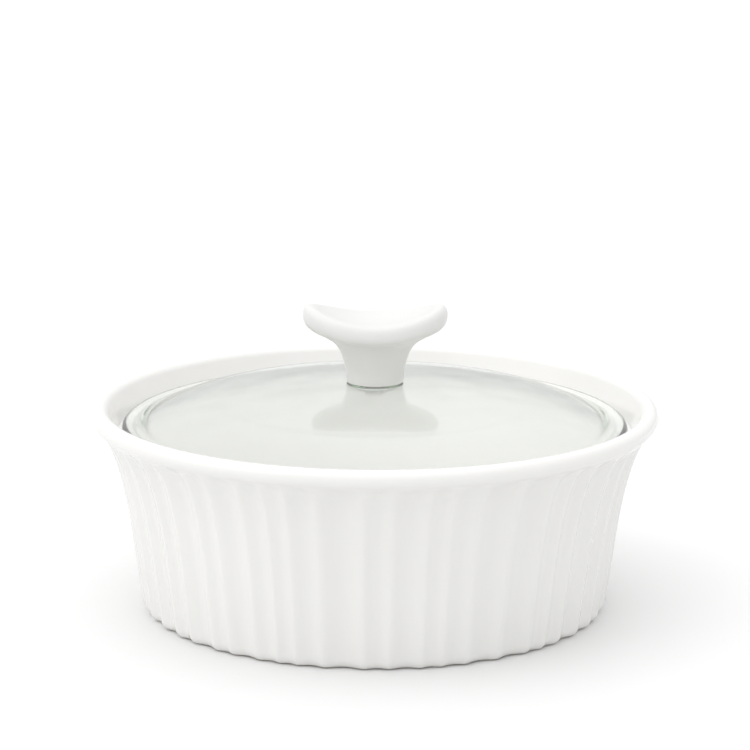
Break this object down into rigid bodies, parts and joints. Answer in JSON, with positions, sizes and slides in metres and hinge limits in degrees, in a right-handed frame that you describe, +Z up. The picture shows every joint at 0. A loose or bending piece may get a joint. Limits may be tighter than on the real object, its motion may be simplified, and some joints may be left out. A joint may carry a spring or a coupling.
{
  "type": "covered casserole dish",
  "caption": "Round fluted stoneware casserole dish with a rolled lip, and a domed glass lid with a winged white knob that rests on a ledge inside the rim and lifts off.",
  "frame": {"origin": "centre of the foot, on the surface that the dish stands on", "axes": "+Z up along the axis of the dish and lid; +X along the long way of the knob"},
  "size_m": [0.25, 0.25, 0.1348],
  "materials": {
    "glazed_stoneware": "clear gloss glaze over off-white stoneware",
    "lid_glass": "clear pressed glass, green at the edges",
    "knob_plastic": "white moulded heat-proof plastic, soft gloss",
    "brass": "turned",
    "silicone": "milky clear silicone, matte",
    "stainless_steel": "bright stainless steel"
  },
  "bodies": {
    "dish": {"dish": "glazed_stoneware"},
    "lid": {"lid_glass": "lid_glass", "knob": "knob_plastic", "knob_insert": "brass", "upper_seal": "silicone", "lower_seal": "silicone", "washer": "stainless_steel", "lock_washer": "stainless_steel", "lid_screw": "stainless_steel"}
  },
  "joints": [
    {"name": "lid_lift", "type": "slide", "parent": "dish", "child": "lid", "axis": [0, 0, 1], "range_m": [0, 0.1]}
  ]
}
